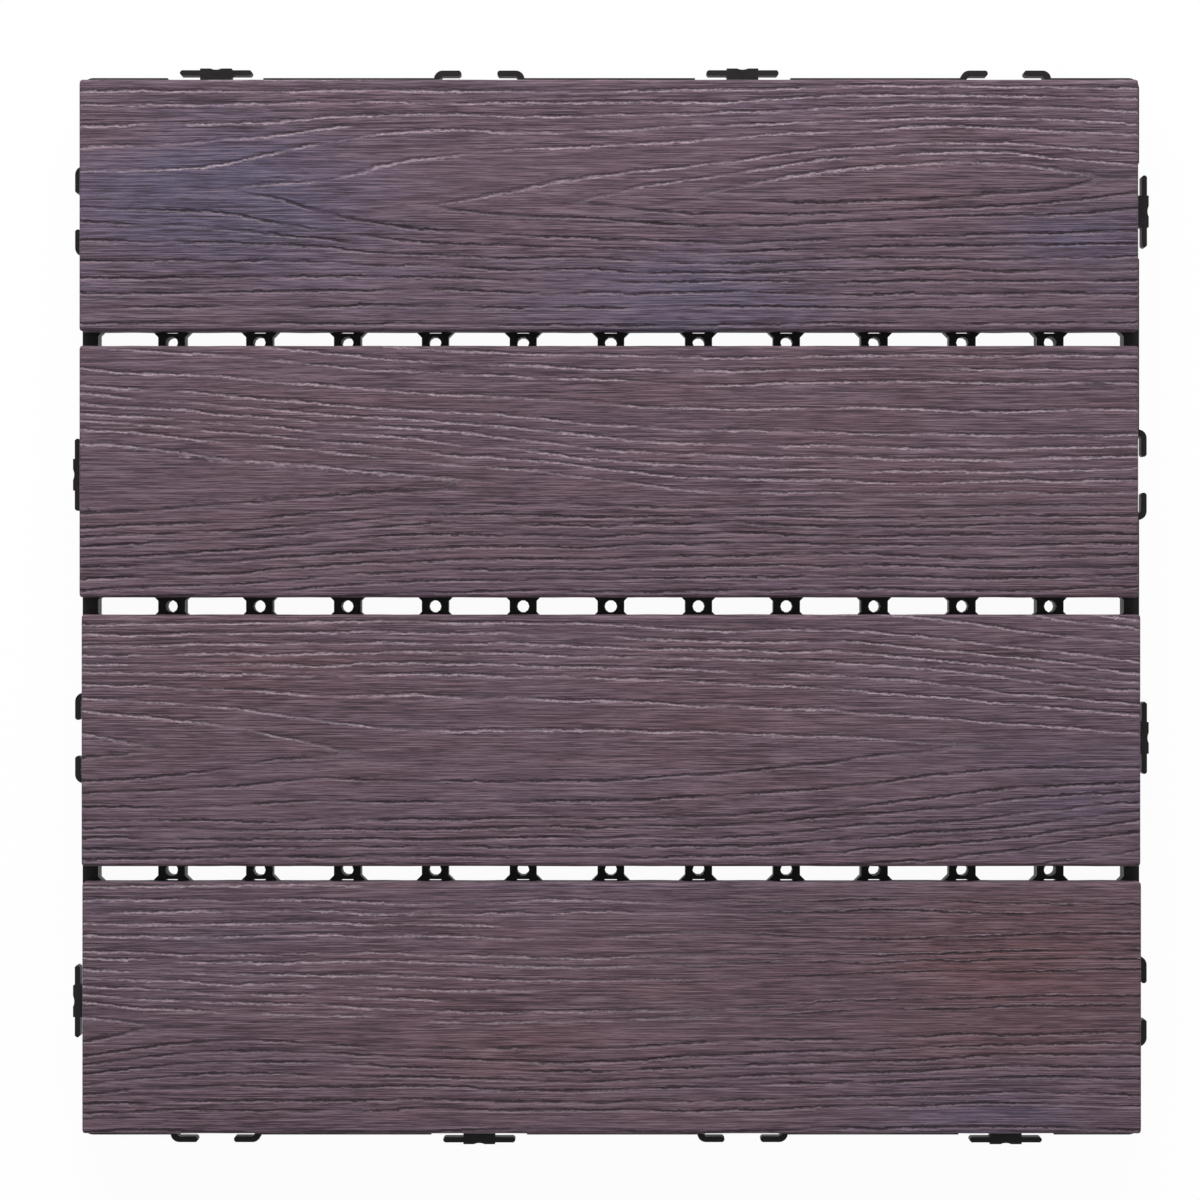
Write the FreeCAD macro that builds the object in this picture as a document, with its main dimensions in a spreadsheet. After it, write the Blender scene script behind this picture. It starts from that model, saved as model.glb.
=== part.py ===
import FreeCAD, Part
import math
import os

import Sketcher

# Interlocking deck tile: four wood-plastic boards on one moulded lattice base.
# Lengths in millimetres. +X runs along the boards, +Y across them, +Z up,
# with the origin on the ground under the middle of the tile.

SIZES = [
    # The grid that everything sits on
    ("NodePitch", 25.0, "spacing of the cross beams and of the ring nodes on them"),
    ("BayCount", 12, "bays between beams across the tile"),
    ("RowBays", 3, "bays between two rows of ring nodes"),
    # Heights
    ("FootHeight", 3.0, "height of the feet under the lattice"),
    ("BaseHeight", 11.0, "ground to the face that the boards lie on"),
    ("ConnectorTop", 9.5, "ground to the top of the tabs and hooks"),
    # Lattice
    ("BeamWidth", 7.6, "cross beam over both of its walls"),
    ("BeamSlot", 3.5, "slot between the two walls of a beam"),
    ("BraceWidth", 3.2, "diagonal brace"),
    ("NodeHole", 3.5, "bore of a ring node"),
    ("NodeWall", 0.9, "wall between a bore and the slot beside it"),
    ("RimOutset", 0.3, "rim's outer face beyond the last grid line"),
    ("RimWall", 4.4, "width of the rim"),
    ("RimCorner", 3.0, "outer corner radius of the rim"),
    # Connectors
    ("NotchFace", 148.5, "centre of the tile to the rim behind a connector"),
    ("TabInner", 151.2, "centre of the tile to the inner face of a tab's arms"),
    ("TabThick", 1.5, "thickness of a tab's arms"),
    ("TabSpan", 20.5, "tab over both arms"),
    ("StemWidth", 9.0, "width of a tab's stem"),
    ("StemProud", 0.5, "stem beyond the arms' outer face"),
    ("DipWidth", 3.1, "width of the hollow in the stem's outer face"),
    ("DipDepth", 0.35, "depth of that hollow"),
    ("HookInner", 151.0, "centre of the tile to the inner face of a hook's bar"),
    ("HookThick", 1.6, "thickness of a hook"),
    ("HookSpan", 25.8, "pair of hooks over both legs"),
    ("HookMouth", 10.3, "opening between the tips of a pair of hooks"),
    ("HookBend", 2.5, "outer bend radius of a hook"),
    ("HookRoom", 0.7, "room beside a neighbour's hook behind a tab"),
    ("TipChamfer", 0.5, "chamfer on the tips of arms and hooks"),
    # Boards
    ("BoardThick", 11.0, "thickness of a board"),
    ("BoardEdge", 1.5, "radius along the top edges of a board"),
    ("JointWidth", 4.3, "open joint between two boards"),
    ("SideSetback", 1.05, "outer board's side inside the last grid line"),
    ("EndSetback", 0.4, "board's end inside the last grid line"),
    # Screws
    ("ScrewShank", 2.8, "diameter of a screw's shank"),
    ("ScrewRoom", 0.1, "room around a screw in the base"),
    ("ScrewHead", 6.4, "diameter of a screw's head"),
    ("ScrewHeadThick", 1.8, "thickness of a screw's head"),
    ("ScrewLength", 16.0, "screw under its head"),
    ("PilotSpare", 0.6, "depth of a board's bore beyond the screw's tip"),
]

# Sizes that follow from the ones above
FORMULAS = [
    ("HalfGrid", "=BayCount * NodePitch / 2"),
    ("RowPitch", "=RowBays * NodePitch"),
    ("LatticeDepth", "=BaseHeight - FootHeight"),
    ("RimOuter", "=HalfGrid + RimOutset"),
    ("RimInner", "=RimOuter - RimWall"),
    ("RimRoot", "=RimOuter - RimWall / 2"),
    ("RimReach", "=HalfGrid - RimInner"),
    ("BeamReach", "=BeamWidth / 2"),
    ("BraceOffset", "=BraceWidth / sqrt(2)"),
    ("NodeHalf", "=NodeHole / 2 + NodeWall"),
    ("TabOuter", "=TabInner + TabThick"),
    ("StemOuter", "=TabOuter + StemProud"),
    ("HookOuter", "=HookInner + HookThick"),
    ("HookHalf", "=HookSpan / 2"),
    ("HookInside", "=HookInner - (HookBend - HookThick)"),
    ("BoardLength", "=2 * HalfGrid - 2 * EndSetback"),
    ("BoardWidth", "=(2 * HalfGrid - 2 * SideSetback - 3 * JointWidth) / 4"),
    ("BoardPitch", "=BoardWidth + JointWidth"),
    ("EndNode", "=HalfGrid - NodePitch"),
]

# Each board as it was laid: its place in board pitches, and its shift along X and across Y
BOARDS = [
    ("board_1", 1.5, -0.6, 0.0),
    ("board_2", 0.5, -0.6, 0.3),
    ("board_3", -0.5, 0.0, -0.1),
    ("board_4", -1.5, 0.2, -0.1),
]

# Flat sides that stand in for a round outline
BORE_SIDES = 10
SCREW_SIDES = 8

doc = FreeCAD.newDocument("DeckTile")


def size_sheet():
    """Spreadsheet with a name, a value and a meaning on each row."""
    sheet = doc.addObject("Spreadsheet::Sheet", "Size")
    rows = [(alias, str(value), meaning) for alias, value, meaning in SIZES]
    rows += [(alias, formula, "") for alias, formula in FORMULAS]
    for name, _, end_shift, side_shift in BOARDS:
        rows.append((f"EndShift{name[-1]}", str(end_shift), f"{name} along X"))
        rows.append((f"SideShift{name[-1]}", str(side_shift), f"{name} across Y"))
    for row, (alias, value, meaning) in enumerate(rows, start=1):
        sheet.set(f"A{row}", alias)
        sheet.set(f"B{row}", value)
        sheet.set(f"C{row}", meaning)
        sheet.setAlias(f"B{row}", alias)
    doc.recompute()


def add_sketch(body, name, plane, height=None):
    """Empty sketch on one of the body's own planes, at a height given by a formula."""
    sketch = body.newObject("Sketcher::SketchObject", name)
    support = [f for f in body.Origin.OriginFeatures if f.Role == plane][0]
    sketch.AttachmentSupport = (support, [""])
    sketch.MapMode = "FlatFace"
    if height:
        sketch.setExpression("AttachmentOffset.Base.z", height)
    return sketch


def tangent_arc(start, end, heading):
    """Arc that leaves start along heading and ends at end; also says if it turns left."""
    chord = end - start
    left = FreeCAD.Vector(-heading.y, heading.x, 0)
    turns_left = chord.dot(left) > 0
    side = left if turns_left else left * -1
    radius = chord.dot(chord) / (2 * chord.dot(side))
    centre = start + side * radius
    return centre, radius, turns_left


def sagitta_arc(start, end, depth):
    """Arc from start to end whose middle lies to the left of the chord by depth."""
    chord = end - start
    half = chord.Length / 2
    radius = (half * half + depth * depth) / (2 * depth)
    right = FreeCAD.Vector(chord.y, -chord.x, 0) * (1 / chord.Length)
    centre = start + chord * 0.5 + right * (radius - depth)
    return centre, radius, False


def add_sizes(sketch, sizes):
    """Adds (constraint, formula) pairs in one go; a constraint without a formula only ties."""
    indices = sketch.addConstraint([size for size, _ in sizes])
    for index, (_, formula) in zip(indices, sizes):
        if formula:
            sketch.setExpression(f"Constraints[{index}]", formula)


def add_outline(sketch, corners):
    """Closed outline through corners given as formulas, with every corner dimensioned from the origin.

    A corner is (x, y), or (x, y, "bend") where the edge after it is an arc tangent to the edge
    before it, or (x, y, depth) where the edge after it is a hollow of that depth.
    """
    points = []
    for corner in corners:
        x = float(sketch.evalExpression(corner[0]))
        y = float(sketch.evalExpression(corner[1]))
        points.append(FreeCAD.Vector(x, y, 0))
    count = len(corners)
    first_edge = sketch.GeometryCount
    shapes, ends, sizes = [], [], []
    for i, corner in enumerate(corners):
        start, end = points[i], points[(i + 1) % count]
        if len(corner) == 2:
            shapes.append(Part.LineSegment(start, end))
            ends.append((1, 2))
            continue
        if corner[2] == "bend":
            heading = (start - points[i - 1]).normalize()
            centre, radius, turns_left = tangent_arc(start, end, heading)
        else:
            depth = float(sketch.evalExpression(corner[2]))
            centre, radius, turns_left = sagitta_arc(start, end, depth)
            half = f"({corners[(i + 1) % count][0]} - ({corner[0]})) / 2"
            formula = f"({half} * {half} + {corner[2]} * {corner[2]}) / (2 * {corner[2]})"
            sizes.append((Sketcher.Constraint("Radius", first_edge + i, radius), formula))
        first, last = (start, end) if turns_left else (end, start)
        angle_1 = math.atan2(first.y - centre.y, first.x - centre.x)
        angle_2 = math.atan2(last.y - centre.y, last.x - centre.x)
        if angle_2 < angle_1:
            angle_2 += 2 * math.pi
        circle = Part.Circle(centre, FreeCAD.Vector(0, 0, 1), radius)
        shapes.append(Part.ArcOfCircle(circle, angle_1, angle_2))
        ends.append((1, 2) if turns_left else (2, 1))
    for i, corner in enumerate(corners):
        edge, before = first_edge + i, first_edge + (i - 1) % count
        kind = "Tangent" if len(corner) == 3 and corner[2] == "bend" else "Coincident"
        sizes.append((Sketcher.Constraint(kind, before, ends[i - 1][1], edge, ends[i][0]), None))
        for axis, formula, value in (("X", corner[0], points[i].x), ("Y", corner[1], points[i].y)):
            size = Sketcher.Constraint(f"Distance{axis}", -1, 1, edge, ends[i][0], value)
            sizes.append((size, formula))
    sketch.addGeometry(shapes, False)
    add_sizes(sketch, sizes)


def add_rectangle(sketch, x_1, x_2, y_1, y_2):
    """Rectangle between two formulas along each axis."""
    add_outline(sketch, [(x_1, y_1), (x_2, y_1), (x_2, y_2), (x_1, y_2)])


def add_bore_outline(sketch, x, y, diameter, sides=None):
    """Outline of a bore centred on two formulas: a circle, or a regular outline with flat sides."""
    if sides:
        corners = []
        for step in range(sides):
            angle = step * 360 / sides
            corner_x = f"{x} + {diameter} / 2 * cos({angle} deg)"
            corners.append((corner_x, f"{y} + {diameter} / 2 * sin({angle} deg)"))
        add_outline(sketch, corners)
        return
    value_x, value_y, value_d = (float(sketch.evalExpression(f)) for f in (x, y, diameter))
    circle = Part.Circle(FreeCAD.Vector(value_x, value_y, 0), FreeCAD.Vector(0, 0, 1), value_d / 2)
    edge = sketch.addGeometry(circle, False)
    sizes = [
        (Sketcher.Constraint("DistanceX", -1, 1, edge, 3, value_x), x),
        (Sketcher.Constraint("DistanceY", -1, 1, edge, 3, value_y), y),
        (Sketcher.Constraint("Diameter", edge, value_d), diameter),
    ]
    add_sizes(sketch, sizes)


def add_pad(body, name, sketch, length):
    """Pad upwards from a sketch."""
    pad = body.newObject("PartDesign::Pad", name)
    pad.Profile = sketch
    pad.Refine = False
    pad.setExpression("Length", length)
    doc.recompute()
    return pad


def add_pocket(body, name, sketch, length):
    """Pocket downwards from a sketch; it has to take material away."""
    before = body.Shape.Volume
    pocket = body.newObject("PartDesign::Pocket", name)
    pocket.Profile = sketch
    pocket.Refine = False
    pocket.setExpression("Length", length)
    doc.recompute()
    if body.Shape.Volume >= before:
        raise RuntimeError(f"{name} cuts nothing")
    return pocket


def add_bore(body, name, x, y, z, diameter, depth):
    """Upright bore with a few flat sides, from a height upwards; it has to take material away."""
    before = body.Shape.Volume
    bore = body.newObject("PartDesign::SubtractivePrism", name)
    bore.Polygon = SCREW_SIDES
    bore.Refine = False
    bore.setExpression("Circumradius", f"{diameter} / 2")
    bore.setExpression("Height", depth)
    bore.setExpression("Placement.Base.x", x)
    bore.setExpression("Placement.Base.y", y)
    bore.setExpression("Placement.Base.z", z)
    doc.recompute()
    if body.Shape.Volume >= before:
        raise RuntimeError(f"{name} cuts nothing")
    return bore


def repeat_along_x(body, name, features, count, step):
    """Copies of features in a row along X."""
    pattern = body.newObject("PartDesign::LinearPattern", name)
    pattern.Originals = features
    pattern.Refine = False
    pattern.Direction = ([f for f in body.Origin.OriginFeatures if f.Role == "X_Axis"][0], [""])
    pattern.Mode = "Spacing"
    pattern.setExpression("Occurrences", count)
    pattern.setExpression("Offset", step)
    body.Tip = pattern
    doc.recompute()
    return pattern


def repeat_round(body, name, features, count):
    """Copies of features around the middle of the tile."""
    pattern = body.newObject("PartDesign::PolarPattern", name)
    pattern.Originals = features
    pattern.Refine = False
    pattern.Axis = ([f for f in body.Origin.OriginFeatures if f.Role == "Z_Axis"][0], [""])
    pattern.Angle = 360
    pattern.Occurrences = count
    body.Tip = pattern
    doc.recompute()
    return pattern


def rim(body):
    """Rim around the lattice, with rounded outer corners."""
    sketch = add_sketch(body, "RimOutlines", "XY_Plane", "Size.FootHeight")
    out = "Size.RimOuter"
    straight = "(Size.RimOuter - Size.RimCorner)"
    add_outline(
        sketch,
        [
            (f"-{straight}", f"-{out}"),
            (straight, f"-{out}", "bend"),
            (out, f"-{straight}"),
            (out, straight, "bend"),
            (straight, out),
            (f"-{straight}", out, "bend"),
            (f"-{out}", straight),
            (f"-{out}", f"-{straight}", "bend"),
        ],
    )
    inner = "Size.RimInner"
    add_rectangle(sketch, f"-{inner}", inner, f"-{inner}", inner)
    add_pad(body, "Rim", sketch, "Size.LatticeDepth")


def tab(body, name, x):
    """T-shaped tab: a stem with two arms and a shallow hollow in its outer face."""
    arm = "Size.TabSpan / 2"
    chamfered = "(Size.TabSpan / 2 - Size.TipChamfer)"
    stem = "Size.StemWidth / 2"
    dip = "Size.DipWidth / 2"
    sketch = add_sketch(body, f"{name}Outline", "XY_Plane", "Size.FootHeight")
    add_outline(
        sketch,
        [
            (f"{x} - {stem}", "Size.RimRoot"),
            (f"{x} + {stem}", "Size.RimRoot"),
            (f"{x} + {stem}", "Size.TabInner"),
            (f"{x} + {chamfered}", "Size.TabInner"),
            (f"{x} + {arm}", "Size.TabInner + Size.TipChamfer"),
            (f"{x} + {arm}", "Size.TabOuter - Size.TipChamfer"),
            (f"{x} + {chamfered}", "Size.TabOuter"),
            (f"{x} + {stem}", "Size.TabOuter"),
            (f"{x} + {stem}", "Size.StemOuter"),
            (f"{x} + {dip}", "Size.StemOuter", "Size.DipDepth"),
            (f"{x} - {dip}", "Size.StemOuter"),
            (f"{x} - {stem}", "Size.StemOuter"),
            (f"{x} - {stem}", "Size.TabOuter"),
            (f"{x} - {chamfered}", "Size.TabOuter"),
            (f"{x} - {arm}", "Size.TabOuter - Size.TipChamfer"),
            (f"{x} - {arm}", "Size.TabInner + Size.TipChamfer"),
            (f"{x} - {chamfered}", "Size.TabInner"),
            (f"{x} - {stem}", "Size.TabInner"),
        ],
    )
    return add_pad(body, name, sketch, "Size.ConnectorTop - Size.FootHeight")


def hooks(body, name, x):
    """Pair of hooks, each a leg out of the rim that bends into a bar towards the other."""
    sketch = add_sketch(body, f"{name}Outlines", "XY_Plane", "Size.FootHeight")
    for side in (-1, 1):
        outer = f"{x} + {side} * Size.HookHalf"
        inner = f"{x} + {side} * (Size.HookHalf - Size.HookThick)"
        bend = f"{x} + {side} * (Size.HookHalf - Size.HookBend)"
        tip = f"{x} + {side} * Size.HookMouth / 2"
        chamfered = f"{x} + {side} * (Size.HookMouth / 2 + Size.TipChamfer)"
        add_outline(
            sketch,
            [
                (inner, "Size.RimRoot"),
                (outer, "Size.RimRoot"),
                (outer, "Size.HookOuter - Size.HookBend", "bend"),
                (bend, "Size.HookOuter"),
                (chamfered, "Size.HookOuter"),
                (tip, "Size.HookOuter - Size.TipChamfer"),
                (tip, "Size.HookInner + Size.TipChamfer"),
                (chamfered, "Size.HookInner"),
                (bend, "Size.HookInner"),
                (inner, "Size.HookInside"),
            ],
        )
    return add_pad(body, name, sketch, "Size.ConnectorTop - Size.FootHeight")


def connectors(body):
    """Two tabs and two pairs of hooks on each side, in front of notches in the rim."""
    tabs = ("-1.5 * Size.RowPitch", "0.5 * Size.RowPitch")
    pairs = ("-0.5 * Size.RowPitch", "1.5 * Size.RowPitch")
    notches = add_sketch(body, "NotchOutlines", "XY_Plane", "Size.BaseHeight")
    beyond = "Size.RimOuter + Size.RimWall"
    for x in tabs:
        half = "(Size.HookHalf + Size.HookRoom)"
        add_rectangle(notches, f"{x} - {half}", f"{x} + {half}", "Size.NotchFace", beyond)
    for x in pairs:
        half = "(Size.HookHalf - Size.HookThick)"
        add_rectangle(notches, f"{x} - {half}", f"{x} + {half}", "Size.NotchFace", beyond)
    cut = add_pocket(body, "SideNotches", notches, "Size.LatticeDepth")
    repeat_round(body, "Notches", [cut], 4)

    pads = [tab(body, "TabA", tabs[0]), tab(body, "TabB", tabs[1])]
    pads += [hooks(body, "HooksA", pairs[0]), hooks(body, "HooksB", pairs[1])]
    repeat_round(body, "Connectors", pads, 4)


def rim_braces(body):
    """Short braces from the rim towards the end nodes, on the two sides where the boards end."""
    peak, offset = "Size.NodePitch / 2", "Size.BraceOffset"
    sketch = add_sketch(body, "RimBraceOutlines", "XY_Plane", "Size.FootHeight")
    for row in (-1, 0, 1):
        for side in ("+", "-"):
            y = f"{row} * Size.RowPitch {side}"
            outline = [
                ("-Size.RimInner", f"{y} (Size.RimReach - {offset})"),
                ("-Size.RimInner", f"{y} (Size.RimReach + {offset})"),
                (f"-Size.EndNode - {peak}", f"{y} ({peak} + {offset})"),
                (f"-Size.EndNode - {peak}", f"{y} ({peak} - {offset})"),
            ]
            add_outline(sketch, outline)
    pad = add_pad(body, "RimBrace", sketch, "Size.LatticeDepth")
    repeat_round(body, "RimBraces", [pad], 2)


def rim_feet(body):
    """Feet under the rim, three on each side."""
    sketch = add_sketch(body, "RimFootOutlines", "XY_Plane")
    beam = "Size.BeamReach"
    for x in ("-Size.RowPitch", "0", "Size.RowPitch"):
        add_rectangle(sketch, f"{x} - {beam}", f"{x} + {beam}", "Size.RimInner", "Size.RimOuter")
    pad = add_pad(body, "RimFoot", sketch, "Size.FootHeight")
    repeat_round(body, "RimFeet", [pad], 4)


def ring_node(body, name, x, row, bore_sides=None):
    """Ring node with its length of twin-walled beam and its four diagonal braces.

    Braces of neighbouring nodes meet in the middle of a bay. The diamonds between them show in
    the joints between the boards. Beams of the outer rows run on to the rim.
    """
    peak, offset = "Size.NodePitch / 2", "Size.BraceOffset"
    beam, slot = "Size.BeamReach", "Size.BeamSlot / 2"
    half, end = "Size.RowPitch / 2", "Size.RimInner - Size.RowPitch"
    y = f"{row} * Size.RowPitch"

    def quarter(length):
        return [
            (beam, f"{beam} - {offset}"),
            (peak, f"{peak} - {offset}"),
            (peak, f"{peak} + {offset}"),
            (beam, f"{beam} + {offset}"),
            (beam, length),
            (slot, length),
            (slot, "Size.NodeHalf"),
        ]

    up = quarter(end if row > 0 else half)
    down = quarter(end if row < 0 else half)
    corners = [(f"{x} + ({dx})", f"{y} + ({dy})") for dx, dy in up]
    corners += [(f"{x} - ({dx})", f"{y} + ({dy})") for dx, dy in reversed(up)]
    corners += [(f"{x} - ({dx})", f"{y} - ({dy})") for dx, dy in down]
    corners += [(f"{x} + ({dx})", f"{y} - ({dy})") for dx, dy in reversed(down)]
    sketch = add_sketch(body, f"{name}Outline", "XY_Plane", "Size.FootHeight")
    add_outline(sketch, corners)
    add_bore_outline(sketch, x, y, "Size.NodeHole", bore_sides)
    return add_pad(body, name, sketch, "Size.LatticeDepth")


def inner_nodes(body):
    """Ring nodes of all beams but the two at the ends."""
    x = "(Size.NodePitch - Size.EndNode)"
    nodes = []
    for name, row in (("InnerA", -1), ("InnerB", 0), ("InnerC", 1)):
        nodes.append(ring_node(body, name, x, row, BORE_SIDES))
    repeat_along_x(body, "InnerBeams", nodes, "Size.BayCount - 3", "Size.NodePitch")


def end_nodes(body):
    """Ring nodes of the two end beams; the outer four have round bores for fixing screws."""
    x = "-Size.EndNode"
    nodes = [ring_node(body, "EndA", x, -1), ring_node(body, "EndB", x, 0, BORE_SIDES)]
    nodes.append(ring_node(body, "EndC", x, 1))
    repeat_along_x(body, "EndBeams", nodes, "2", "2 * Size.EndNode")


def node_foot(body, name, x, row, bore_sides=None):
    """Foot under a ring node, bored like the node."""
    beam, node = "Size.BeamReach", "Size.NodeHalf"
    y = f"{row} * Size.RowPitch"
    sketch = add_sketch(body, f"{name}Outline", "XY_Plane")
    add_rectangle(sketch, f"{x} - {beam}", f"{x} + {beam}", f"{y} - {node}", f"{y} + {node}")
    add_bore_outline(sketch, x, y, "Size.NodeHole", bore_sides)
    return add_pad(body, name, sketch, "Size.FootHeight")


def node_feet(body):
    """Feet under every second ring node of each row, from the end beams inwards."""
    x = "-Size.EndNode"
    ends = [node_foot(body, "FootA", x, -1), node_foot(body, "FootB", x, 0, BORE_SIDES)]
    ends.append(node_foot(body, "FootC", x, 1))
    repeat_along_x(body, "EndFeet", ends, "2", "2 * Size.EndNode")
    x = "(2 * Size.NodePitch - Size.EndNode)"
    inner = []
    for name, row in (("FootD", -1), ("FootE", 0), ("FootF", 1)):
        inner.append(node_foot(body, name, x, row, BORE_SIDES))
    repeat_along_x(body, "InnerFeet", inner, "Size.BayCount / 2 - 2", "2 * Size.NodePitch")


def screw_webs(body):
    """Bored webs in the slots of the two end beams, under the middle line of each board."""
    x, slot, node = "-Size.EndNode", "Size.BeamSlot / 2", "Size.NodeHalf"
    webs = []
    for name, row in (("WebA", -1.5), ("WebB", -0.5), ("WebC", 0.5), ("WebD", 1.5)):
        y = f"{row} * Size.RowPitch"
        sketch = add_sketch(body, f"{name}Outline", "XY_Plane", "Size.FootHeight")
        add_rectangle(sketch, f"{x} - {slot}", f"{x} + {slot}", f"{y} - {node}", f"{y} + {node}")
        add_bore_outline(sketch, x, y, "(Size.ScrewShank + 2 * Size.ScrewRoom)", SCREW_SIDES)
        webs.append(add_pad(body, name, sketch, "Size.LatticeDepth"))
    repeat_along_x(body, "WebPairs", webs, "2", "2 * Size.EndNode")


def make_base():
    """The moulded base, one piece with its feet, tabs and hooks."""
    areas = []
    for name, features in (
        ("Frame", (rim, connectors, rim_braces, rim_feet)),
        ("InnerNodes", (inner_nodes,)),
        ("EndNodes", (end_nodes,)),
        ("ScrewWebs", (screw_webs,)),
        ("NodeFeet", (node_feet,)),
    ):
        body = doc.addObject("PartDesign::Body", name)
        for feature in features:
            feature(body)
        areas.append(body)
    base = doc.addObject("Part::MultiFuse", "Base")
    base.Label = "base"
    base.Shapes = areas
    base.Refine = False
    doc.recompute()
    return base


def make_board(name, place):
    """Board of wood-plastic: a section with rounded top edges, run along X, bored for two screws."""
    number = name[-1]
    body = doc.addObject("PartDesign::Body", name.title().replace("_", ""))
    body.Label = name
    section = add_sketch(body, f"Section{number}", "YZ_Plane")
    half = "Size.BoardWidth / 2"
    top = "Size.BoardThick"
    edge = "Size.BoardEdge"
    add_outline(
        section,
        [
            (f"-{half}", "0"),
            (half, "0"),
            (half, f"{top} - {edge}", "bend"),
            (f"{half} - {edge}", top),
            (f"-{half} + {edge}", top, "bend"),
            (f"-{half}", f"{top} - {edge}"),
        ],
    )
    pad = body.newObject("PartDesign::Pad", f"Run{number}")
    pad.Profile = section
    pad.SideType = "Symmetric"
    pad.setExpression("Length", "Size.BoardLength")
    doc.recompute()

    centre = f"({place} * Size.BoardPitch + Size.SideShift{number})"
    depth = "Size.ScrewLength - Size.LatticeDepth + Size.PilotSpare"
    for end, side in (("A", "-"), ("B", "")):
        x = f"{side}Size.EndNode - Size.EndShift{number}"
        y = f"{place} * Size.RowPitch - {centre}"
        add_bore(body, f"Pilot{number}{end}", x, y, "0", "Size.ScrewShank", depth)
    body.setExpression("Placement.Base.x", f"Size.EndShift{number}")
    body.setExpression("Placement.Base.y", centre)
    body.setExpression("Placement.Base.z", "Size.BaseHeight")
    return body


def make_screws():
    """Eight pan-head screws, driven up through the base's webs into the boards."""
    screws = []
    for column in (-1, 1):
        for row in (-1.5, -0.5, 0.5, 1.5):
            number = len(screws) + 1
            head = doc.addObject("Part::Prism", f"ScrewHead{number}")
            head.setExpression("Circumradius", "Size.ScrewHead / 2")
            head.setExpression("Height", "Size.ScrewHeadThick")
            shank = doc.addObject("Part::Prism", f"ScrewShank{number}")
            shank.setExpression("Circumradius", "Size.ScrewShank / 2")
            shank.setExpression("Height", "Size.ScrewLength")
            for piece in (head, shank):
                piece.Polygon = SCREW_SIDES
                piece.setExpression("Placement.Base.x", f"{column} * Size.EndNode")
                piece.setExpression("Placement.Base.y", f"{row} * Size.RowPitch")
            head.setExpression("Placement.Base.z", "Size.FootHeight - Size.ScrewHeadThick")
            shank.setExpression("Placement.Base.z", "Size.FootHeight")
            screw = doc.addObject("Part::Fuse", f"Screw{number}")
            screw.Base = head
            screw.Tool = shank
            screws.append(screw)
    group = doc.addObject("Part::Compound", "Screws")
    group.Label = "screws"
    group.Links = screws
    return group


size_sheet()
pieces = [make_base()]
for board_name, board_place, _, _ in BOARDS:
    pieces.append(make_board(board_name, board_place))
pieces.append(make_screws())
doc.recompute()

for item in doc.Objects:
    if "Invalid" in item.State or "Error" in item.State:
        raise RuntimeError(f"{item.Name} failed: {item.State}")
os.makedirs("parts", exist_ok=True)
for piece in pieces:
    if piece.Shape.isNull() or not piece.Shape.isValid():
        raise RuntimeError(f"{piece.Label} has no valid shape")
    print(piece.Label, len(piece.Shape.Solids), "solids", round(piece.Shape.Volume / 1000, 2), "cm3")
    piece.Shape.exportStep(f"parts/{piece.Label}.step")
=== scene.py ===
"""Looks of the interlocking deck tile: four embossed wood-plastic boards on a black moulded base."""

import math

import bpy
import numpy as np
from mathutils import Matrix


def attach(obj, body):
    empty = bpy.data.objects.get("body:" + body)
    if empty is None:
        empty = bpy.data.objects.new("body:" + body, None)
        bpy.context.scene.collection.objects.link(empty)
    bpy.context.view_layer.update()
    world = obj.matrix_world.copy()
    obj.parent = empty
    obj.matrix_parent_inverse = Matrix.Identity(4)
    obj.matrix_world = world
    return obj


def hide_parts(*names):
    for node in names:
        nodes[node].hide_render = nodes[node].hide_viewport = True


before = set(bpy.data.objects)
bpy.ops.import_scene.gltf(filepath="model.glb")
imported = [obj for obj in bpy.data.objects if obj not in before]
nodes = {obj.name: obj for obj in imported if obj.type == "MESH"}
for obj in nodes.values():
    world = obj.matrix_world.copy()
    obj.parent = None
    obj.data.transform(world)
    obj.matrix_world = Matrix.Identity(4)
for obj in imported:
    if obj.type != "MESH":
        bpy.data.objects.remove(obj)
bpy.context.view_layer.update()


# Base
# One moulding of near-black polypropylene, satin from its mould, with faint
# flow marks and a slight orange peel. Its lattice, tabs and hooks are the
# frame's own mesh.
MM = 0.001
BASE_BLACK = (0.008, 0.0065, 0.0072, 1)
BASE_FLOW_MARK = (0.019, 0.016, 0.0175, 1)
FLOW_MARKS_PER_METRE = (60.0, 60.0, 200.0)
PEEL_PER_METRE = 2500.0
PEEL_DEPTH = 0.2 * MM


def new_material(name, roughness, gloss):
    """Material with one Principled shader; returns it with its node tree and the shader."""
    material = bpy.data.materials.new(name)
    material.use_nodes = True
    tree = material.node_tree
    shader = tree.nodes["Principled BSDF"]
    shader.inputs["Roughness"].default_value = roughness
    shader.inputs["Specular IOR Level"].default_value = gloss
    return material, tree, shader


def node(tree, kind, links=None, **settings):
    """New node; links maps its inputs to values or to other nodes' outputs."""
    item = tree.nodes.new(kind)
    for key, value in settings.items():
        setattr(item, key, value)
    for key, value in (links or {}).items():
        if isinstance(value, bpy.types.NodeSocket):
            tree.links.new(value, item.inputs[key])
        else:
            item.inputs[key].default_value = value
    return item


def maths(tree, operation, a, b=0.5, c=0.5):
    """Output of a Math node."""
    return node(tree, "ShaderNodeMath", {0: a, 1: b, 2: c}, operation=operation).outputs[0]


def scale_add(tree, value, factor, start):
    """Value times factor, plus start."""
    return maths(tree, "MULTIPLY_ADD", value, factor, start)


def blend(tree, amount, a, b):
    """Colour that goes from a to b as amount goes from 0 to 1."""
    item = node(tree, "ShaderNodeMix", {0: amount, 6: a, 7: b}, data_type="RGBA")
    return item.outputs[2]


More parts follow.
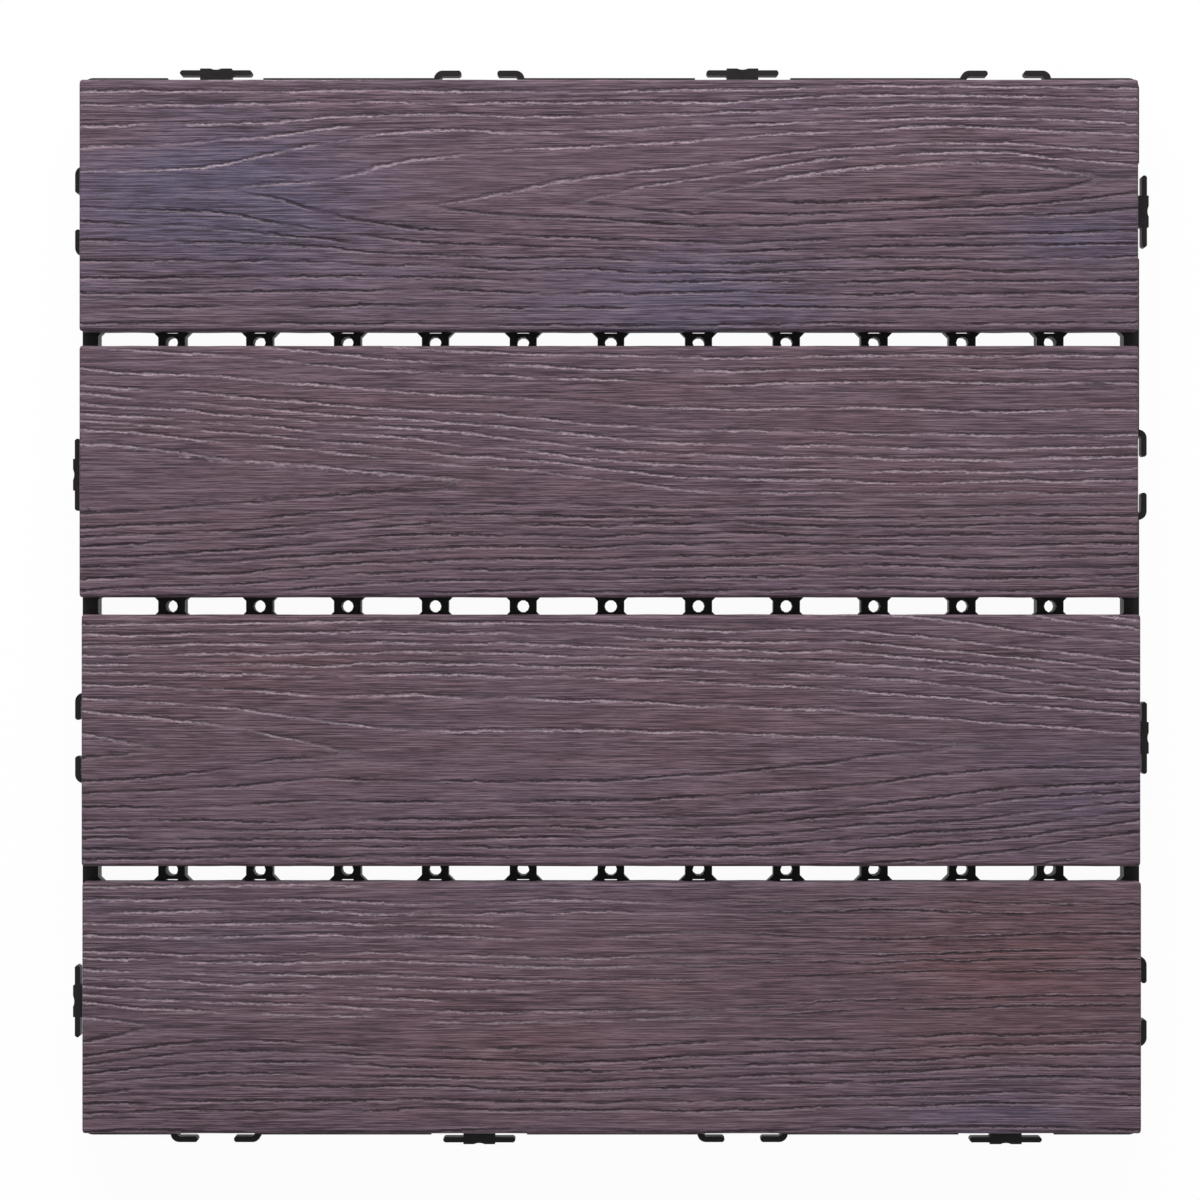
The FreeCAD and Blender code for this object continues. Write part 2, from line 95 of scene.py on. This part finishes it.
def noise(tree, vector, scale, detail=2.0, roughness=0.5):
    """Factor output of a Noise texture."""
    links = {"Vector": vector, "Scale": scale, "Detail": detail, "Roughness": roughness}
    return node(tree, "ShaderNodeTexNoise", links).outputs["Fac"]


def ramp(tree, value, low, high, to_low=0.0, to_high=1.0):
    """Value carried from low and high to to_low and to_high, and held there beyond them."""
    links = {"Value": value, "From Min": low, "From Max": high, "To Min": to_low, "To Max": to_high}
    return node(tree, "ShaderNodeMapRange", links).outputs["Result"]


def scaled(tree, vector, x, y, z):
    """Vector with each axis multiplied."""
    links = {0: vector, 1: (x, y, z)}
    return node(tree, "ShaderNodeVectorMath", links, operation="MULTIPLY").outputs[0]


def object_place(tree):
    """Object coordinates, in metres."""
    return node(tree, "ShaderNodeTexCoord").outputs["Object"]


def add_bump(tree, shader, height, strength, depth):
    """Puts a height on the shader as bump, of a strength, with a depth in metres."""
    links = {"Strength": strength, "Distance": depth, "Height": height}
    tree.links.new(node(tree, "ShaderNodeBump", links).outputs["Normal"], shader.inputs["Normal"])


base_material, tree, shader = new_material("base_plastic", 0.55, 0.16)
place = object_place(tree)
flow_marks = noise(tree, scaled(tree, place, *FLOW_MARKS_PER_METRE), 1.0, 4.0)
colour = blend(tree, ramp(tree, flow_marks, 0.3, 0.7), BASE_BLACK, BASE_FLOW_MARK)
tree.links.new(colour, shader.inputs["Base Color"])
tree.links.new(scale_add(tree, flow_marks, 0.25, 0.42), shader.inputs["Roughness"])
add_bump(tree, shader, noise(tree, place, PEEL_PER_METRE), 0.35, PEEL_DEPTH)
nodes["base"].data.materials.clear()
nodes["base"].data.materials.append(base_material)


# Screws
# Eight pan-head screws of zinc-plated steel with fine scuffs, driven up through
# the base into the boards, so that only their heads show, from below.
ZINC_DULL, ZINC_BRIGHT = (0.42, 0.42, 0.41, 1), (0.66, 0.65, 0.62, 1)
SCUFFS_PER_METRE = 900.0

screw_material, tree, shader = new_material("screw_steel", 0.35, 0.5)
shader.inputs["Metallic"].default_value = 1.0
scuff = noise(tree, object_place(tree), SCUFFS_PER_METRE, 6.0, 0.7)
tree.links.new(blend(tree, scuff, ZINC_DULL, ZINC_BRIGHT), shader.inputs["Base Color"])
tree.links.new(scale_add(tree, scuff, 0.3, 0.2), shader.inputs["Roughness"])
nodes["screws"].data.materials.clear()
nodes["screws"].data.materials.append(screw_material)


# Boards
# Four extruded boards of wood-plastic composite, mauve with bluish and reddish
# clouds, embossed with wood grain by a roller and screwed down from below.
MAUVE, BLUISH, REDDISH = (0.130, 0.081, 0.108, 1), (0.102, 0.085, 0.142, 1), (0.144, 0.070, 0.078, 1)
FIBRE_DARK, FIBRE_PALE = (0.034, 0.020, 0.028, 1), (0.235, 0.168, 0.200, 1)
DASH_DARK = (0.030, 0.018, 0.026, 1)
# Ring-line colours: a painted highlight and a painted shade, put on by the side of the heart and not by the
# lamp
LINE_PAINTED_HIGHLIGHT, LINE_PAINTED_SHADE = (0.36, 0.278, 0.326, 1), (0.014, 0.008, 0.012, 1)

# Lengths below are millimetres, and noise scales are cells a millimetre
RELIEF_DEPTH = 1.0 * MM
FACE_MIDDLE, FACE_HALF, FACE_SOFT = 0.28, 0.15, 0.25
FOOT_MIDDLE, FOOT_HALF, FOOT_SOFT = 0.82, 0.08, 0.26


def product(tree, a, b):
    """One value times another."""
    return maths(tree, "MULTIPLY", a, b)


def attribute(tree, name):
    """Factor output of a mesh attribute."""
    return node(tree, "ShaderNodeAttribute", attribute_name=name).outputs["Fac"]


def beyond_line(tree, grain, along, nearest):
    """Millimetres outwards from the nearest ring line.

    The mesh gives the ring count and the width from line to line. The line is made ragged by
    noise, and jumps a little from one length of it to the next.
    """
    ragged = noise(tree, scaled(tree, grain, 0.32, 0.8, 0.3), 1.0, 4.0, 0.7)
    length = maths(tree, "FLOOR", scale_add(tree, nearest, 0.37, product(tree, along, 0.085)))
    seed = node(tree, "ShaderNodeCombineXYZ", {0: length, 1: nearest}).outputs[0]
    jump = node(tree, "ShaderNodeTexWhiteNoise", {"Vector": seed}).outputs["Value"]
    raggedness = maths(tree, "SUBTRACT", ragged, 0.5)
    wander = scale_add(tree, raggedness, 1.7, scale_add(tree, jump, 0.3, -0.15))
    rings_off = maths(tree, "SUBTRACT", attribute(tree, "ring"), nearest)
    return scale_add(tree, rings_off, attribute(tree, "width"), wander)


def line_bands(tree, grain):
    """Face and foot of the ring lines, the masks of their painted highlight, painted shade and relief: 1
    within each band's half width, fading over its soft edge.

    Both are fainter where the line is worn, and gone where the mesh hides it.
    """
    along = node(tree, "ShaderNodeSeparateXYZ", {0: grain}).outputs["X"]
    nearest = maths(tree, "FLOOR", maths(tree, "ADD", attribute(tree, "ring"), 0.5))
    off = beyond_line(tree, grain, along, nearest)
    stretch = {0: product(tree, along, 0.045), 1: product(tree, nearest, 7.3)}
    wear = noise(tree, node(tree, "ShaderNodeCombineXYZ", stretch).outputs[0], 1.0, 3.0, 0.6)
    force = product(tree, ramp(tree, wear, 0.36, 0.52, 0.12, 1.0), attribute(tree, "shown"))
    bands = []
    for middle, half, soft in ((FACE_MIDDLE, FACE_HALF, FACE_SOFT), (FOOT_MIDDLE, FOOT_HALF, FOOT_SOFT)):
        apart = maths(tree, "ABSOLUTE", maths(tree, "SUBTRACT", off, middle))
        bands.append(product(tree, ramp(tree, apart, half + soft, half), force))
    return bands


def line_painted_light(tree, grain, face, foot):
    """Painted highlight and painted shade of the ring lines.

    Above the heart the face gets a painted highlight, broken into beads, and the foot painted
    shade; below the heart it is the other way round.
    """
    upper = scale_add(tree, attribute(tree, "side"), 0.5, 0.5)
    lower = maths(tree, "SUBTRACT", 1.0, upper)
    bead_noise = noise(tree, scaled(tree, grain, 0.8, 1.8, 0.7), 1.0, 3.0, 0.7)
    beads = ramp(tree, bead_noise, 0.40, 0.56, 0.45, 1.0)
    face_painted_highlight = product(tree, product(tree, face, upper), beads)
    painted_highlight = scale_add(tree, product(tree, foot, lower), 0.30, face_painted_highlight)
    foot_painted_shade = product(tree, product(tree, foot, upper), 0.50)
    painted_shade = scale_add(tree, product(tree, face, lower), 0.88, foot_painted_shade)
    return painted_highlight, painted_shade


board_material, tree, shader = new_material("board_composite", 0.62, 0.24)
grain = scaled(tree, object_place(tree), 1 / MM, 1 / MM, 1 / MM)
face, foot = line_bands(tree, grain)
painted_highlight, painted_shade = line_painted_light(tree, grain, face, foot)

# Fibres are short streaks along the board, darker in some places than in others
broad = noise(tree, scaled(tree, grain, 0.05, 2.5, 0.9), 1.0, 3.0, 0.62)
slim = noise(tree, scaled(tree, grain, 0.13, 3.4, 1.4), 1.0, 3.0, 0.65)
fibre = scale_add(tree, broad, 0.55, product(tree, slim, 0.45))
patch = noise(tree, scaled(tree, grain, 0.014, 0.06, 0.05), 1.0)
streak = product(tree, ramp(tree, fibre, 0.53, 0.42), ramp(tree, patch, 0.35, 0.65, 0.60, 1.0))

# Tint is what the mesh gives, with clouds added: below 0 it is bluish, above 0 reddish
cloud = noise(tree, scaled(tree, grain, 0.016, 0.11, 0.05), 1.0, 4.0, 0.6)
warmth = maths(tree, "ADD", attribute(tree, "tint"), scale_add(tree, cloud, 1.6, -0.8))
colour = blend(tree, ramp(tree, warmth, -1.1, 0.0), BLUISH, MAUVE)
colour = blend(tree, ramp(tree, warmth, 0.1, 1.2), colour, REDDISH)
for amount, layer in (
    (streak, FIBRE_DARK),
    (ramp(tree, fibre, 0.53, 0.61, 0.0, 0.64), FIBRE_PALE),
    (ramp(tree, slim, 0.41, 0.33, 0.0, 0.8), DASH_DARK),
    # ring lines: painted highlight, then painted shade
    (painted_highlight, LINE_PAINTED_HIGHLIGHT),
    (painted_shade, LINE_PAINTED_SHADE),
):
    colour = blend(tree, amount, colour, layer)
tree.links.new(colour, shader.inputs["Base Color"])
tree.links.new(scale_add(tree, fibre, 0.2, 0.52), shader.inputs["Roughness"])

relief = scale_add(tree, fibre, 0.45, product(tree, noise(tree, grain, 1.6), 0.05))
relief = scale_add(tree, face, -0.22, relief)
relief = scale_add(tree, foot, -0.14, relief)
add_bump(tree, shader, relief, 1.0, RELIEF_DEPTH)

# The grain of each board, in millimetres from its middle:
# heart: the heart line, as (x, y) points
# hidden: the grain hidden at the heart line, as (x, millimetres) points
# level: the same far from the heart
# fade: how far out the heart is felt
# spread: how much wider the rings are above the heart than below it
# lines: where the ring lines are in the grain, counted from 1
# pitch: the mean pitch of the lines that follow them
# ends: single lines that end, as (ring line, x, 1 above the heart or -1 below it)
# painted_light_share: above the heart, 1 where a line's face gets painted highlight and its foot painted
# shade, -1 the other way round, as (x, share) points
# spots: tinted spots, as (x, y, reach, tint from blue to red)
BOARDS = {
    "board_1": {
        "heart": [
            (-150, 4.6), (-105, 3.8), (-48, 0.2), (-6, 1.2), (60, 5.0), (100, 7.3), (136, 7.1), (150, 7.0),
        ],
        "hidden": [
            (-150, 21.5), (-105, 20.0), (-48, 12.8), (-6, 8.3), (30, 3.6), (70, -1.0), (110, 0.8),
            (136, 3.9), (150, 5.8),
        ],
        "level": [(-150, 9), (150, 9)],
        "fade": 15.0,
        "spread": 1.0,
        "lines": [3.9, 8.3, 12.8, 20.0, 24.0, 26.0, 28.0, 31.6, 34.8, 38.4, 42.6],
        "pitch": 4.0,
        "ends": [(6, -72, 1), (6, -72, -1)],
        "painted_light_share": [(-150, 1), (150, 1)],
        "spots": [
            (0, 0, 150, -0.35), (-110, 2, 45, -1.2), (-20, 12, 60, 0.5), (90, 5, 50, 0.4),
            (135, -8, 25, -0.8), (20, -32, 40, -0.7),
        ],
    },
    "board_2": {
        "heart": [(-150, -2.0), (-31, -4.4), (10, -7.0), (60, -7.6), (110, -7.8), (150, -7.0)],
        "hidden": [(-150, 0.0), (-90, 4.5), (-31, 8.6), (15, 11.2), (70, 12.0), (150, 12.2)],
        "level": [(-150, 2), (-110, 4.5), (-71, 7.7), (-41, 9), (0, 9.5), (150, 9.5)],
        "fade": 30.0,
        "spread": 1.0,
        "lines": [8.6, 13.0, 15.9, 18.3, 21.2, 24.0, 27.4, 30.5, 33.3, 36.7, 39.9],
        "pitch": 3.3,
        "ends": [(8, -154, 1), (10, -154, 1)],
        "painted_light_share": [(-150, 1), (150, 1)],
        "spots": [(-80, 0, 70, 0.2), (60, 20, 60, 0.3), (100, -15, 50, 0.2)],
    },
    "board_3": {
        "heart": [(-150, -0.9), (-77, -3.4), (-36, -5.1), (30, -4.0), (95, -2.1), (150, -3.0)],
        "hidden": [
            (-150, 0.0), (-133, 2.7), (-77, 11.9), (-36, 12.8), (25, 13.6), (60, 15.4), (95, 17.7),
            (150, 19.5),
        ],
        "level": [(-150, 8), (-40, 8), (25, 9), (85, 11.5), (150, 18.5)],
        "fade": 15.0,
        "spread": 1.0,
        "lines": [2.7, 11.9, 17.7, 23.2, 27.6, 30.0, 33.0, 35.6, 38.5, 41.7, 46.8, 51.0],
        "pitch": 3.6,
        "ends": [],
        "painted_light_share": [(-150, 1), (150, 1)],
        "spots": [(-100, 15, 45, 0.5), (30, 10, 60, 0.3), (130, -15, 30, -0.5)],
    },
    "board_4": {
        "heart": [(-150, -5.5), (-132, -5.0), (0, -7.0), (80, -3.5), (150, -2.0)],
        "hidden": [(-150, 0.0), (-132, 2.8), (-60, 4.5), (0, 5.0), (150, 5.0)],
        "level": [(-150, 4), (150, 4)],
        "fade": 20.0,
        "spread": 0.8,
        "lines": [2.8, 8.0, 11.2, 14.4, 17.6, 20.5, 24.5, 27.3, 33.5],
        "pitch": 4.2,
        "ends": [(4, -46, 1), (5, -20, 1), (10, -30, 1), (13, -70, 1)],
        "painted_light_share": [(-150, 1), (-60, 0.9), (5, 0.6), (45, -0.6), (80, -1), (150, -1)],
        "spots": [(118, 10, 55, 1.1), (-30, -5, 60, 0.6), (-120, 30, 50, -0.2), (110, -33, 30, -0.7)],
    },
}

# Points along and across a board's top and in a quarter arc of its edges
ALONG, ACROSS, ARC = 430, 196, 6
EDGE_RADIUS, CORNER_X, CORNER_Y, END_DROP = 1.5, 0.8, 0.8, 0.9
CORNER_STEPS = np.array([0.0, 0.12, 0.35, 0.7])
SPOT_FLATNESS = 0.45
HEART_BLUNT, HEART_SIDE = 0.8, 2.5
BEFORE_FIRST_LINE, MORE_LINES, PITCH_SPREAD, END_FADE = -30.0, 30, 0.28, 4
LINE_WIDEST, LINE_NARROWEST = 1 / 0.12, 1 / 1.2
SIDE_ROUGHNESS = 0.14


def through(x, points):
    """Smooth curve through (x, value) points.

    Between each two points it is a cubic, which has at each of them the slope of its neighbours.
    """
    places, values = (np.array(column, float) for column in zip(*points))
    slopes = np.gradient(values, places)
    i = np.clip(np.searchsorted(places, x) - 1, 0, len(places) - 2)
    span = places[i + 1] - places[i]
    t = np.clip((x - places[i]) / span, 0, 1)
    rise = values[i] * (2 * t**3 - 3 * t**2 + 1) + values[i + 1] * (3 * t**2 - 2 * t**3)
    return rise + span * (slopes[i] * (t**3 - 2 * t**2 + t) + slopes[i + 1] * (t**3 - t**2))


def lattice_noise(x, y, cell_x, cell_y, seed):
    """Random values from -1 to 1 on a lattice of cells, eased between its points."""
    table = np.random.default_rng(seed).uniform(-1, 1, (257, 257))
    u, v = x / cell_x + 100.3, y / cell_y + 100.7
    i, j = np.floor(u).astype(int), np.floor(v).astype(int)
    s, t = u - i, v - j
    s, t = s * s * (3 - 2 * s), t * t * (3 - 2 * t)
    i, j = i % 256, j % 256
    low = table[i, j] * (1 - s) + table[i + 1, j] * s
    high = table[i, j + 1] * (1 - s) + table[i + 1, j + 1] * s
    return low * (1 - t) + high * t


def grain_of(board, x, y, seed):
    """Ring count, side of the heart (scaled above it by the painted light share) and strength of the
    nearest line at points of a board's top.

    Grain reached at a point is the way across from the heart line plus the grain hidden at
    that line, and both the line's curve and the hidden grain fade as a bell curve of the way
    across. So a ring line slants on each side of the heart and runs level further out, and
    its two sides meet in a point where the hidden grain has reached that line.
    """
    y = y + 0.9 * lattice_noise(x, y, 42, 9, seed) + 0.35 * lattice_noise(x, y, 13, 4, seed + 1)
    heart = through(x, board["heart"])
    usual = board["heart"][0][1] * 0.5 + board["heart"][-1][1] * 0.5
    felt = np.exp(-(((y - heart) / board["fade"]) ** 2))
    away = y - usual - (heart - usual) * felt
    away = np.where(away > 0, away / board["spread"], away)
    level = through(x, board["level"])
    hidden = level + (through(x, board["hidden"]) - level) * felt
    reached = hidden + np.hypot(away, HEART_BLUNT) - HEART_BLUNT

    shares = np.random.default_rng(seed + 2).uniform(1 - PITCH_SPREAD, 1 + PITCH_SPREAD, MORE_LINES)
    further = board["lines"][-1] + np.cumsum(shares * board["pitch"])
    lines = np.concatenate([[BEFORE_FIRST_LINE], board["lines"], further])
    ring = np.interp(reached, lines, np.arange(len(lines)))
    shown = np.ones_like(ring)
    for line, end, half in board["ends"]:
        ended = (np.rint(ring) == line) * (np.sign(away) == half)
        shown -= ended * np.clip((x - end) / END_FADE + 1, 0, 1)
    # Painted light: above the heart this share turns the side, and with it which part of each line gets
    # painted highlight and which painted shade
    painted_light_sign = np.where(away > 0, through(x, board["painted_light_share"]), 1.0)
    return ring, painted_light_sign * np.tanh(away / HEART_SIDE), shown


def embossing(x, y, ring, width, shown, seed):
    """Depth pressed into a board's top.

    At each ring line it is a step that runs out with the way beyond the line, with a groove
    at its face and a lip before it, pressed more or less deep along the line. Fibres, and a
    slow sag of the whole surface, are added to it.
    """
    after = (ring - np.floor(ring)) * width
    before = width - after
    step, groove, lip = np.exp(-after / 0.9), np.exp(-((after / 0.3) ** 2)), np.exp(-((before / 0.5) ** 2))
    pressed = shown * (0.55 + 0.45 * lattice_noise(x, np.floor(ring) * 7.3, 40, 5, seed + 3))
    fibres = 0.05 * (1 + lattice_noise(x, y, 9, 0.8, seed + 4))
    fibres += 0.03 * (1 + lattice_noise(x, y, 30, 2.1, seed + 5))
    sag = 0.06 * (1 + lattice_noise(x, y, 35, 14, seed + 6))
    return np.maximum(0.26 * step + 0.22 * groove - 0.05 * lip, 0) * pressed + fibres + sag


def box_of(name):
    """Lowest and highest corner of a CAD node, to a thousandth of a millimetre."""
    vertices = nodes[name].data.vertices
    points = np.empty(len(vertices) * 3)
    vertices.foreach_get("co", points)
    points = points.reshape(-1, 3) / MM
    return points.min(axis=0).round(3), points.max(axis=0).round(3)


def board_skin(name, board, seed):
    """Closed board: one section across it, carried along it and drawn in at both ends.

    The section goes up one side, round a quarter arc, over the top and down again. On top it
    is lowered by the embossing, its sides are roughened, and towards each end it narrows and
    drops as a quarter circle does. Its attributes are the ring count, the width in millimetres
    from line to line, the side from -1 below the heart to 1 above it, which sets which part of a line
    gets painted highlight and which painted shade, how far a line shows, and the tint from blue to red.
    """
    low, high = box_of(name)
    half_x, half_y, _ = (high - low) / 2
    shift_x, shift_y, _ = (high + low) / 2
    base_z, top_z = low[2], high[2]
    end_x = half_x - CORNER_STEPS * CORNER_X
    inner_x = np.linspace(-half_x + CORNER_X, half_x - CORNER_X, ALONG)
    x = np.concatenate([-end_x, inner_x, end_x[::-1]])
    angle = np.linspace(0, math.pi / 2, ARC + 1)[1:-1]
    arc_y = half_y - EDGE_RADIUS + EDGE_RADIUS * np.sin(angle)
    arc_z = top_z - EDGE_RADIUS * (1 - np.cos(angle))
    rim_y = np.concatenate([arc_y, [half_y, half_y]])
    rim_z = np.concatenate([arc_z, [top_z - EDGE_RADIUS, base_z]])
    inner_y = np.linspace(-half_y + EDGE_RADIUS, half_y - EDGE_RADIUS, ACROSS)
    y = np.concatenate([-rim_y[::-1], inner_y, rim_y])
    z = np.concatenate([rim_z[::-1], np.full(ACROSS, top_z), rim_z])

    grid_x, grid_y = np.meshgrid(x, y, indexing="ij")
    grid_z = np.broadcast_to(z, grid_x.shape).copy()
    ring, side, shown = grain_of(board, grid_x, grid_y, seed)
    slope_x = np.gradient(ring, x, axis=0)
    step_y = np.gradient(y)
    slope_y = np.gradient(ring, axis=1) / np.where(np.abs(step_y) < 1e-6, 1.0, step_y)
    width = 1 / np.clip(np.hypot(slope_x, slope_y), 1 / LINE_WIDEST, 1 / LINE_NARROWEST)

    # No line shows on the sides or at the ends
    top = np.clip((grid_z - (top_z - EDGE_RADIUS)) / EDGE_RADIUS, 0, 1)
    shown = shown * top
    shown[[0, -1]] = 0
    grid_z -= top * embossing(grid_x, grid_y, ring, width, shown, seed)
    place_on_side = grid_z * 3 + np.sign(grid_y) * 40
    rough = (1 + lattice_noise(grid_x, place_on_side, 7, 2.5, seed + 7)) / 2
    grid_y -= np.sign(grid_y) * SIDE_ROUGHNESS * (1 - top) * rough

    reach = np.clip((CORNER_X - (half_x - np.abs(grid_x))) / CORNER_X, 0, 1)
    drawn_in = 1 - np.sqrt(1 - reach**2)
    grid_y *= 1 - CORNER_Y * drawn_in / half_y
    grid_z -= top * END_DROP * drawn_in

    points = np.stack([grid_x + shift_x, grid_y + shift_y, grid_z], axis=-1).reshape(-1, 3) * MM
    index = np.arange(grid_x.size).reshape(grid_x.shape)
    beside = np.roll(index, -1, axis=1)
    quads = np.stack([index[:-1], index[1:], beside[1:], beside[:-1]], axis=-1).reshape(-1, 4)
    faces = quads.tolist() + [index[0].tolist(), index[-1][::-1].tolist()]
    mesh = bpy.data.meshes.new(name)
    mesh.from_pydata(points.tolist(), [], faces)
    mesh.update()
    mesh.shade_smooth()
    tint = np.zeros_like(grid_x)
    for spot_x, spot_y, spot_reach, spot_tint in board["spots"]:
        off_x = (grid_x - spot_x) / spot_reach
        off_y = (grid_y - spot_y) / (spot_reach * SPOT_FLATNESS)
        tint += spot_tint * np.exp(-(off_x**2) - off_y**2)
    for label, values in {"ring": ring, "width": width, "side": side, "shown": shown, "tint": tint}.items():
        layer = mesh.attributes.new(label, "FLOAT", "POINT")
        layer.data.foreach_set("value", values.astype(np.float32).ravel())
    return bpy.data.objects.new(name + "_skin", mesh)


FIRST_SEED, SEEDS_A_BOARD = 11, 20
for number, (name, board) in enumerate(BOARDS.items()):
    piece = board_skin(name, board, FIRST_SEED + SEEDS_A_BOARD * number)
    bpy.context.scene.collection.objects.link(piece)
    piece.data.materials.append(board_material)
    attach(piece, "root")
    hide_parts(name)


# Floor
# Plain white, just below the feet: it shows as white to the camera and in
# reflections, keeps a little of the tile's shadow, lights the tile from below
# and is clear from underneath.
FLOOR_REACH, FLOOR_DROP, FLOOR_WHITENESS = 4, 0.2 * MM, 0.96
FLOOR_CORNERS = ((-1, -1), (1, -1), (1, 1), (-1, 1))

floor_mesh = bpy.data.meshes.new("floor")
corners = [(FLOOR_REACH * across, FLOOR_REACH * along, -FLOOR_DROP) for across, along in FLOOR_CORNERS]
floor_mesh.from_pydata(corners, [], [(0, 1, 2, 3)])
floor = bpy.data.objects.new("floor", floor_mesh)
bpy.context.scene.collection.objects.link(floor)
floor_material = bpy.data.materials.new("floor")
floor_material.use_nodes = True
tree = floor_material.node_tree
tree.nodes.clear()
path = node(tree, "ShaderNodeLightPath").outputs
white = node(tree, "ShaderNodeEmission", {"Color": (1, 1, 1, 1), "Strength": 1.0}).outputs[0]
matt = node(tree, "ShaderNodeBsdfDiffuse", {"Color": (0.9, 0.9, 0.9, 1)}).outputs[0]
seen = maths(tree, "MAXIMUM", path["Is Camera Ray"], path["Is Glossy Ray"])
whiteness = product(tree, seen, FLOOR_WHITENESS)
from_above = node(tree, "ShaderNodeMixShader", {0: whiteness, 1: matt, 2: white}).outputs[0]
below = node(tree, "ShaderNodeNewGeometry").outputs["Backfacing"]
clear = node(tree, "ShaderNodeBsdfTransparent").outputs[0]
ground = node(tree, "ShaderNodeMixShader", {0: below, 1: from_above, 2: clear}).outputs[0]
node(tree, "ShaderNodeOutputMaterial", {"Surface": ground})
floor_mesh.materials.append(floor_material)


# Light
# A broad soft lamp beyond the upper edge of the picture, which the ring lines
# catch, and an even white surround, which lights less than it shows.
SURROUND_LIGHT, SURROUND_SEEN = 0.45, 1.0
LAMP_WATTS, LAMP_SIZE = 26.0, (1.2, 0.5)
LAMP_PLACE, LAMP_TILT, LAMP_TURN = (-0.15, 1.25, 0.95), math.radians(-52), math.radians(-7)

world = bpy.data.worlds.new("surround")
bpy.context.scene.world = world
world.use_nodes = True
tree = world.node_tree
path = node(tree, "ShaderNodeLightPath").outputs
bounced = maths(tree, "MAXIMUM", path["Is Glossy Ray"], path["Is Transmission Ray"])
seen = maths(tree, "MAXIMUM", path["Is Camera Ray"], bounced)
strength = scale_add(tree, seen, SURROUND_SEEN - SURROUND_LIGHT, SURROUND_LIGHT)
tree.nodes["Background"].inputs["Color"].default_value = (1, 1, 1, 1)
tree.links.new(strength, tree.nodes["Background"].inputs["Strength"])
lamp = bpy.data.lights.new("key", "AREA")
lamp.shape = "RECTANGLE"
lamp.size, lamp.size_y = LAMP_SIZE
lamp.energy = LAMP_WATTS
lamp_object = bpy.data.objects.new("key", lamp)
lamp_object.location = LAMP_PLACE
lamp_object.rotation_euler = (LAMP_TILT, 0, LAMP_TURN)
bpy.context.scene.collection.objects.link(lamp_object)


# Camera
# Straight down from 1.5 m, with the tile placed in the frame as in the picture.
camera = bpy.data.cameras.new("camera")
camera.sensor_width = 36.0
camera.lens = 157.0
camera_object = bpy.data.objects.new("camera", camera)
camera_object.location = (-0.0031, 0.0018, 1.5)
bpy.context.scene.collection.objects.link(camera_object)
bpy.context.scene.camera = camera_object
bpy.context.scene.view_settings.view_transform = "Standard"
